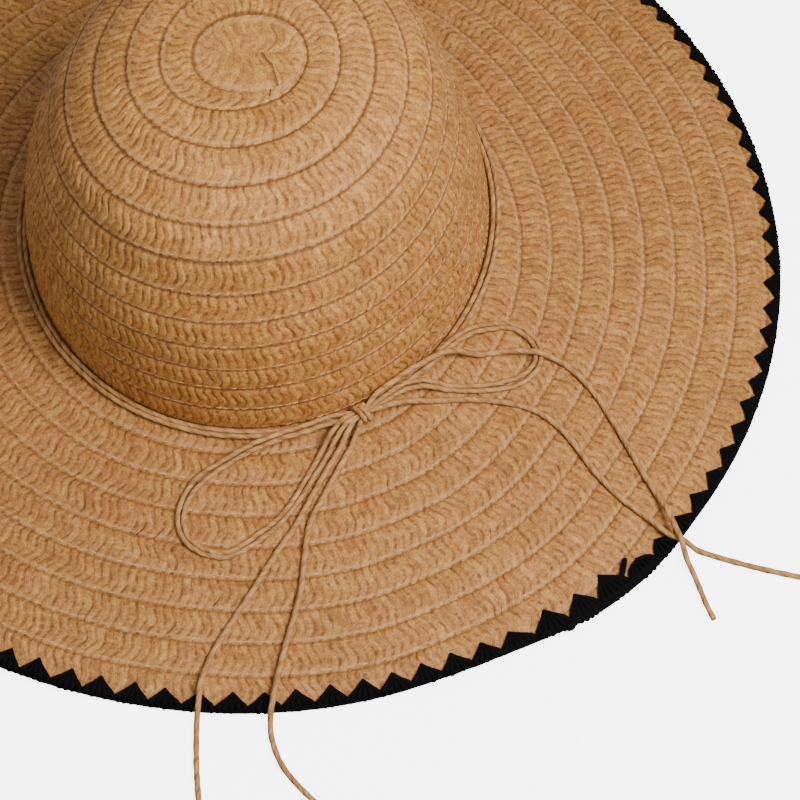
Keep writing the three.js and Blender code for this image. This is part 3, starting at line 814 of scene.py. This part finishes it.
def crown_seam(turn):
    """Rows from the centre of the ribbon's outer edge after a clockwise turn; the first is an oval."""
    rows = 0
    for shift in SEAM_SOFTNESS:
        at = turn + shift
        around = np.clip(at, 0, FIRST_TURN_OVAL_END) - FIRST_TURN_NARROW_AT
        oval = FIRST_TURN_ROWS - FIRST_TURN_OVAL * np.cos(2 * around)
        rows = rows + np.where(at < SEAM_TRAVEL[0], oval, np.interp(at, SEAM_TRAVEL, SEAM_ROWS))
    return rows / len(SEAM_SOFTNESS)


def crown_angle(turn):
    return BRAID_END_ANGLE - turn


def crown_centre_radius(turn):
    rows = np.clip(crown_seam(turn) - 0.5, 0.45, CROWN_ROWS)
    width = np.interp(rows, CROWN_SAMPLES, CROWN_CURVE[:, 0])
    return np.maximum(width * oval_radius(crown_angle(turn)) / MEAN_CROWN_RADIUS, 6.0)


def crown_surface(rows, turn, offset):
    """A point of the crown, whose first turn goes round a short fold and not round a point."""
    angle = crown_angle(turn)
    points = crown_point(rows, angle, offset)
    points[..., 0] += START_FOLD_LENGTH / 2 * np.cos(angle) * (1 - smooth(rows / 1.7))
    return points


def crown_layer(v, rib, phase, turn):
    """The outside: the braid's start is folded over its first turn, and its ribs are lower at the brim."""
    lift = outside_layer(v, rib, phase, turn)
    fold = START_FOLD * np.exp(-np.maximum(turn, 0) / 0.5)
    first_turn = turn < TAU + START_LAP
    lift = np.where(first_turn, lerp(0.12, lift, smooth((v - START_ACROSS) / 0.18)), lift)
    low = smooth((crown_seam(turn) - CROWN_ROWS + 0.5) / 0.8)
    return np.where(lift > 0, lift * (1 - 0.45 * low), lift) + fold


def make_crown():
    run = ribbon(crown_seam, 0.0, CROWN_TRAVEL_END, crown_centre_radius)
    tip, side = braid_halves(run, crown_surface, CROWN_WAVE, (-1.0, CROWN_ROWS), TIP_SHARE,
                             (RIB_PHASES, ACROSS_CROWN, crown_layer, False),
                             (RIB_PHASES_INSIDE, ACROSS_INSIDE, inside_layer, True))
    braid_object("crown_tip_braid", tip, CROWN_STRAW, ("crown_tip",))
    braid_object("crown_side_braid", side, CROWN_STRAW, ("crown_side",))
    return run


CROWN_RUN = make_crown()

# The brim's seams: (angle in degrees, share across the brim, share between rows)
BRIM_SEAM = [
    (34, 0.404, 0.1162),
    (0, 0.450, 0.1065),
    (-40, 0.507, 0.1042),
    (-61, 0.568, 0.1105),
    (-75, 0.580, 0.1150),
    (-95, 0.567, 0.1135),
    (-120, 0.575, 0.1116),
    (-220, 0.552, 0.1130),
]
BRIM_START = math.radians(BRIM_SEAM[0][0])
BRIM_ROW_SHARE = 0.112
BRIM_FIRST_TURN = -4.6 * TAU
BRIM_LAST_TURN = 6.4 * TAU
BRIM_END = 1.012
INNER_SHARE = 0.55


def brim_seam(turn):
    """Share across the brim of the ribbon's outer edge after a clockwise turn from the first angle."""
    whole = np.floor(turn / TAU)
    part = turn - whole * TAU
    at = np.radians([BRIM_SEAM[0][0] - row[0] for row in BRIM_SEAM] + [360])
    share = [row[1] for row in BRIM_SEAM] + [BRIM_SEAM[0][1] + BRIM_SEAM[0][2]]
    gap = [row[2] for row in BRIM_SEAM] + [BRIM_SEAM[0][2]]
    return np.interp(part, at, share) + whole * np.interp(part, at, gap)


def brim_angle(turn):
    return BRIM_START - turn


def brim_rows(turn):
    return brim_seam(turn) / BRIM_ROW_SHARE


def brim_width(angle):
    return straw_edge_radius(angle) - opening_radius(angle)


def brim_surface(rows, turn, offset):
    """A point of the brim, whose straw goes on a little way inside the trim."""
    angle = brim_angle(turn)
    edge = 1 + STRAW_INSIDE_TRIM / brim_width(angle)
    return brim_point(np.clip(rows * BRIM_ROW_SHARE, 0, edge), angle, offset)


def brim_centre_radius(turn):
    angle = brim_angle(turn)
    share = np.clip(brim_seam(turn) - BRIM_ROW_SHARE / 2, 0, 1)
    return opening_radius(angle) + brim_width(angle) * share


def brim_layer(v, rib, phase, turn):
    """The outside: ribs are pressed flat under the trim and under the crown cord."""
    share = lerp(brim_seam(turn - TAU), brim_seam(turn), v)
    pressed = np.maximum(smooth((share - 0.955) / 0.03), 1 - smooth((share - 0.02) / 0.05))
    lift = outside_layer(v, rib, phase, turn) + 0.35 * np.maximum(-row_base(v), 0)
    return lerp(lift, np.minimum(lift, -0.05), pressed)


def under_layer(v, rib, phase, turn):
    """The brim's underside, a little higher where the trim wraps round it."""
    share = lerp(brim_seam(turn - TAU), brim_seam(turn), v)
    return inside_layer(v, rib, phase, turn) + 0.25 * smooth((share - 0.955) / 0.03)


def make_brim():
    run = ribbon(brim_rows, BRIM_FIRST_TURN, BRIM_LAST_TURN, brim_centre_radius)
    inner, outer = braid_halves(run, brim_surface, BRIM_WAVE, (0.0, BRIM_END / BRIM_ROW_SHARE), INNER_SHARE,
                                (RIB_PHASES, ACROSS_BRIM, brim_layer, False),
                                (RIB_PHASES_INSIDE, ACROSS_INSIDE, under_layer, True))
    braid_object("brim_braid_inner", inner, BRIM_STRAW, ("brim",))
    braid_object("brim_braid_outer", outer, BRIM_STRAW, ())
    return run


BRIM_RUN = make_brim()


# Sewing thread: a row of short stitches just inside each seam

STITCH_PITCH = 3.2
STITCH_UNEVENNESS = 0.9
SHORTEST_STITCH = 2.1
STITCHES_SEEN = 0.85
THREAD_LIFT = 0.22
THREAD_AT = 0.9
THREAD_SHOWS_MOST = math.radians(-45)

# A stitch comes up out of the straw and goes down again: (share of its length, lift)
STITCH_SHAPE = np.array([(0.0, -0.3), (0.2, 0.10), (0.5, 0.22), (0.8, 0.10), (1.0, -0.3)])


def make_stitches(name, run, point, angle, visible, radius, sunk):
    """Stitches of one run, sunk deeper into the straw away from the side where the thread shows."""
    index = np.arange(int(run["length"][-1] / STITCH_PITCH))
    start = index * STITCH_PITCH + STITCH_UNEVENNESS * hashed(index, 21)
    reach = SHORTEST_STITCH + STITCH_UNEVENNESS * hashed(index, 23)
    share, shape_lift = STITCH_SHAPE.T
    u = start[:, None] + share * reach[:, None]
    turn = np.interp(u, run["length"], run["travel"])
    v = THREAD_AT + 0.014 * noise(index / 2.0, 22)[:, None] + 0.02 * (share - 0.5)
    rows = lerp(inner_edge(run, turn, starts_at_centre(run, turn)), run["seam"](turn), v)
    lift = row_base(THREAD_AT) + THREAD_LIFT + shape_lift + 0.16 * (hashed(index, 24)[:, None] - 0.5)
    lift = lift - sunk * (0.5 - 0.5 * np.cos(angle(turn) - THREAD_SHOWS_MOST))
    path = point(rows, turn, lift)
    keep = visible(rows).all(1) & (hashed(index, 25) < STITCHES_SEEN)
    paths = [(tube_points(one, radius, 4), along) for one, along in zip(path[keep], u[keep])]
    obj = tube_object(name, paths)
    obj.data.materials.append(THREAD)


make_stitches("crown_stitches", CROWN_RUN, crown_surface, crown_angle,
              lambda rows: (rows < CROWN_ROWS - 0.15) & (rows > 1.0), radius=0.18, sunk=0.36)
make_stitches("brim_stitches", BRIM_RUN, brim_surface, brim_angle,
              lambda rows: (rows > 0.6) & (rows < 0.95 / BRIM_ROW_SHARE), radius=0.21, sunk=0.42)


# Edge trim: shells of black yarn, each strand of which wraps the rim and ends in its shell's point

STRAND_SPACING = 2.4
STRAND_RADIUS = 1.25
STRAND_FLOOR_CLEARANCE = 0.05
STRAND_POINTS = 15
STRAND_SIDES = 7
STRAND_LENGTH = 20

# How thick a strand is from the shell's point to its end under the straw: (share of its length, radius)
STRAND_TAPER = [
    (0.0, 0.32),
    (0.14, 0.62),
    (0.28, 0.9),
    (0.4, STRAND_RADIUS),
    (0.7, STRAND_RADIUS),
    (0.85, 0.6),
    (1.0, 0.45),
]

# The shells' points are at this share of each tooth, and wider apart where the trim's ends are joined
SHELL_POINT = 0.43
JOIN_POINTS = [92.79, 93.90, 95.00, 96.40, 97.35]
JOIN_FIRST, JOIN_LAST = 92, 97
JOIN_LUMPS = [(92.5, 0.9, 1.7), (93.2, -0.2, 2.1), (93.9, 0.6, 1.8), (94.5, 0.5, 1.8), (95.2, 0.5, 1.7),
              (96.7, 0.6, 1.5)]
STUB_PLACE = [(140.9, -156.4, 1.4), (142.3, -153.4, 1.7), (142.9, -150.6, 1.7), (143.5, -147.2, 1.5)]

# How deep the trim is along the rim: (tooth, reach of the points, reach between them, swell outside the rim)
TRIM_DEPTH = [
    (0, 6.4, 2.5, 0.0),
    (30, 6.6, 2.5, 0.0),
    (55, 7.3, 2.6, 0.0),
    (80, 7.3, 2.5, 0.0),
    (91.4, 7.3, 2.6, 0.0),
    (92.8, 9.5, 3.6, 0.5),
    (93.9, 9.8, 4.0, 1.3),
    (95.0, 10.2, 4.8, 1.0),
    (96.4, 6.4, 5.0, 0.9),
    (97.3, 6.8, 3.8, 0.5),
    (98.6, 6.6, 2.6, 0.0),
    (110, 6.4, 2.5, 0.0),
]


def trim_depth(tooth, column):
    return np.interp(tooth % TRIM_TEETH, [row[0] for row in TRIM_DEPTH], [row[column] for row in TRIM_DEPTH])


def trim_place(tooth, inset):
    angle = tooth * TAU / TRIM_TEETH
    r = rim_radius(angle) - inset
    return r * np.cos(angle), r * np.sin(angle)


def straw_top(x, y):
    return brim_top(share_across_brim(x, y))


def shell_points():
    whole = [t + SHELL_POINT for t in range(TRIM_TEETH) if t < JOIN_FIRST or t > JOIN_LAST]
    return sorted(whole + JOIN_POINTS)


def strand_path(point, reach, start, end, side):
    """A strand's way from the shell's point over the rim and back under the straw; side is -0.5 to 0.5."""
    base = lerp(start, end, side + 0.5)
    edge = abs(2 * side)
    valley = trim_depth(base, 2) - 0.9
    swell = trim_depth(base, 3)
    tip = point + 0.05 * side
    out = 1.0 + 0.35 * edge ** 3 - swell + 0.5 * (hashed(base * 7, 44) - 0.5)
    teeth = np.array([tip, lerp(tip, base, 0.28), lerp(tip, base, 0.70), base, base, base, base,
                      lerp(base, point, 0.3), lerp(base, point, 0.6)])
    half_in = 0.5 * (valley + out)
    inset = np.array([reach - 0.3 * edge, lerp(reach, valley, 0.4), lerp(reach, valley, 0.8), half_in,
                      out, out + 0.1, half_in + 0.3, 3.6, 5.2])
    x, y = trim_place(teeth, inset)
    over = straw_top(x, y)
    low = STRAND_RADIUS + STRAND_FLOOR_CLEARANCE
    crest = 0.2 * (1 - edge) + 0.3 * min(swell, 1.0)
    z = np.array([over[0] + 0.55, over[1] + 1.0 + crest, over[2] + 1.1 + crest, 3.9 + crest,
                  3.0 + 0.5 * crest, 1.9, low, 0.75, 0.7])
    return np.column_stack([x, y, z])


def make_shells():
    points = shell_points()
    share = np.linspace(0, 1, STRAND_POINTS)
    radii = np.interp(share, *zip(*STRAND_TAPER))
    paths = []
    for k, point in enumerate(points):
        before = points[k - 1] - (TRIM_TEETH if k == 0 else 0)
        after = points[(k + 1) % len(points)] + (TRIM_TEETH if k == len(points) - 1 else 0)
        start, end = 0.5 * (before + point), 0.5 * (point + after)
        point = point + 0.12 * (hashed(k, 41) - 0.5)
        reach = trim_depth(point, 1) + 0.9 * (hashed(k, 42) - 0.5)
        strands = round((end - start) * TAU * RIM_RADIUS / TRIM_TEETH / STRAND_SPACING)
        for strand in range(strands):
            side = (strand + 0.5) / strands - 0.5
            path = catmull_rom(strand_path(point, reach, start, end, side), STRAND_POINTS)
            along = share * STRAND_LENGTH + 5.0 * strand + 3 * k
            paths.append((tube_points(path, radii, STRAND_SIDES), along))
    return paths


def make_join():
    """Where the yarn's ends meet: lumps (tooth, inset, radius) on the rim, and a loose stub on the straw."""
    paths = []
    for k, (tooth, inset, radius) in enumerate(JOIN_LUMPS):
        t = np.linspace(-1, 1, 9)
        x, y = trim_place(tooth + 0.2 * t, inset + 0.5 * t * (k % 2 - 0.5))
        z = 2.7 + 0.5 * np.cos(2 * t)
        paths.append((tube_points(np.column_stack([x, y, z]), radius * np.sqrt(1.02 - t * t), 9), t * 4 + k))
    stub = catmull_rom(STUB_PLACE, 12)
    stub[:, 2] += straw_top(stub[:, 0], stub[:, 1])
    radii = 1.05 - 0.15 * np.abs(np.linspace(-1, 1, 12)) ** 3
    paths.append((tube_points(stub, radii, 10), np.linspace(0, 10, 12)))
    return paths


def make_rim_core():
    """Two strands along the rim under the shells, which fill the notches between them."""
    tooth = np.linspace(0, TRIM_TEETH, 6 * TRIM_TEETH + 1)
    swell = trim_depth(tooth, 3)
    x, y = trim_place(tooth, 1.35 + 0.1 * swell)
    inner = np.column_stack([x, y, 2.75 + 0.2 * swell])
    x, y = trim_place(tooth, 0.95 - 0.8 * swell)
    outer = np.column_stack([x, y, np.full(len(tooth), 2.3)])
    return [(tube_points(inner, 1.15 + 0.9 * swell, 8), tooth * 12),
            (tube_points(outer, 1.1 + 0.12 * noise(tooth * 3, 45), 8), tooth * 12)]


trim = tube_object("edge_trim_yarn", make_shells() + make_join() + make_rim_core())
trim.data.materials.append(YARN)
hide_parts("edge_trim")


# Crown cord: two strands side by side in the corner of crown and brim

BAND_STRAND_RADIUS = 0.95
BAND_STRANDS = (1.95, 4.0)
KNOT_ANGLE = math.atan2(KNOT_CENTRE[1] - CROWN_CENTRE[1], KNOT_CENTRE[0] - CROWN_CENTRE[0])
KNOT_ANGLE_GAP = math.radians(4.2)


def make_crown_cord():
    angle = np.linspace(KNOT_ANGLE + KNOT_ANGLE_GAP, KNOT_ANGLE + TAU - KNOT_ANGLE_GAP, 620)
    paths, centrelines = [], []
    for strand, inset in enumerate(BAND_STRANDS):
        reach = oval_radius(angle) + inset + 0.12 * noise(angle * 7, 51 + strand)
        height = BAND_HEIGHT + 0.15 + 0.15 * noise(angle * 5, 53 + strand)
        path = np.column_stack([CROWN_CENTRE[0] + reach * np.cos(angle),
                                CROWN_CENTRE[1] + reach * np.sin(angle), height])
        rings = paper_cord_rings(path, BAND_STRAND_RADIUS, 5 + strand, sides=8)
        paths.append((rings, np.linspace(0, path_length(path), len(path))))
        centrelines.append(path)
    obj = tube_object("crown_cord_strands", paths)
    obj.data.materials.append(CORD)
    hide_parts("crown_cord")
    return centrelines


BAND_PATHS = make_crown_cord()


# Bow knot: every strand runs on into it, and two turns of cord bind them

KNOT_HALF_ACROSS = 3.2
KNOT_HALF_HEIGHT = 2.2
KNOT_TURNS = (-1.5, 0.6)


def into_knot(end, inward, k):
    """A strand from a cord's end, on in the same direction and then into the knot's middle."""
    inside = KNOT_CENTRE + np.array([1.0 * (hashed(k, 61) - 0.5), 1.6 * (hashed(k, 62) - 0.5),
                                     1.2 * (hashed(k, 63) - 0.5)])
    t = np.linspace(0, 1, 12)[:, None]
    reach = np.linalg.norm(inside - end)
    ahead = end + inward * 0.45 * reach
    return end * (1 - t) ** 2 + 2 * ahead * t * (1 - t) + inside * t ** 2


def cord_ends():
    """Each cord's end at the knot, its direction into the knot and its radius."""
    ends = [(path[0], path[0] - path[2], CORD_RADIUS) for path in TAIL_PATHS]
    for path in LOOP_PATHS:
        ends.append((path[0], path[0] - path[2], LOOP_RADIUS))
        ends.append((path[-1], path[-1] - path[-3], LOOP_RADIUS))
    for path in BAND_PATHS:
        ends.append((path[0], path[0] - path[2], BAND_STRAND_RADIUS))
        ends.append((path[-1], path[-1] - path[-3], BAND_STRAND_RADIUS))
    return [(end, way / np.linalg.norm(way), radius) for end, way, radius in ends]


def make_knot():
    turn = Matrix.Rotation(KNOT_TURN, 3, "Z")
    along = np.array(turn @ Vector((1, 0, 0)))
    across = np.array(turn @ Vector((0, 1, 0)))
    up = np.array([0.0, 0.0, 1.0])
    paths = []
    for k, (end, inward, radius) in enumerate(cord_ends()):
        path = into_knot(end, inward, k)
        radii = radius * np.linspace(1, 0.8, len(path))
        along_path = np.linspace(0, path_length(path), len(path))
        paths.append((paper_cord_rings(path, radii, 9 + k), along_path))
    t = np.linspace(0, 1, 60)
    for wind, place in enumerate(KNOT_TURNS):
        w = t * TAU * 1.06 + 0.4
        slide = place + 1.8 * (t - 0.5) - 0.8 * np.cos(w)
        path = (KNOT_CENTRE + slide[:, None] * along + (KNOT_HALF_ACROSS * np.cos(w))[:, None] * across
                + (KNOT_HALF_HEIGHT * np.sin(w) + 0.3)[:, None] * up)
        paths.append((paper_cord_rings(path, LOOP_RADIUS, 29 + wind), t * 24))
    obj = tube_object("bow_knot_strands", paths)
    obj.data.materials.append(CORD)
    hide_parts("bow_knot")


make_knot()


# Floor and light

FLOOR_GREY = 0.85
FLOOR_GLOW = 5.0
FLOOR_HALF_SIZE = 3.0
KEY_PLACE = (0.54, -0.50, 1.07)
KEY_AIM = (0, 0, 0.03)
KEY_SIZE = 0.55
KEY_WATTS = 20.5
SKY_COLOUR = (0.96, 1.02, 1.03, 1)
SKY_STRENGTH = 0.44


def make_floor():
    size = FLOOR_HALF_SIZE
    mesh = bpy.data.meshes.new("floor")
    corners = [(-size, -size, 0), (size, -size, 0), (size, size, 0), (-size, size, 0)]
    mesh.from_pydata(corners, [], [(0, 1, 2, 3)])
    floor = bpy.data.objects.new("floor", mesh)
    bpy.context.scene.collection.objects.link(floor)
    material, _, shader = new_material("floor", 0.9, 0.0)
    shader.inputs["Base Color"].default_value = (FLOOR_GREY, FLOOR_GREY, FLOOR_GREY, 1)
    shader.inputs["Emission Color"].default_value = (1, 1, 1, 1)
    shader.inputs["Emission Strength"].default_value = FLOOR_GLOW
    mesh.materials.append(material)
    floor.visible_diffuse = False
    floor.visible_glossy = False


def make_key_light():
    data = bpy.data.lights.new("key", "AREA")
    data.shape = "SQUARE"
    data.size = KEY_SIZE
    data.energy = KEY_WATTS
    lamp = bpy.data.objects.new("key", data)
    bpy.context.scene.collection.objects.link(lamp)
    lamp.location = KEY_PLACE
    lamp.rotation_euler = (Vector(KEY_AIM) - Vector(KEY_PLACE)).to_track_quat("-Z", "Y").to_euler()


def make_sky():
    world = bpy.data.worlds.new("world")
    world.use_nodes = True
    background = world.node_tree.nodes["Background"]
    background.inputs["Color"].default_value = SKY_COLOUR
    background.inputs["Strength"].default_value = SKY_STRENGTH
    bpy.context.scene.world = world


make_floor()
make_key_light()
make_sky()
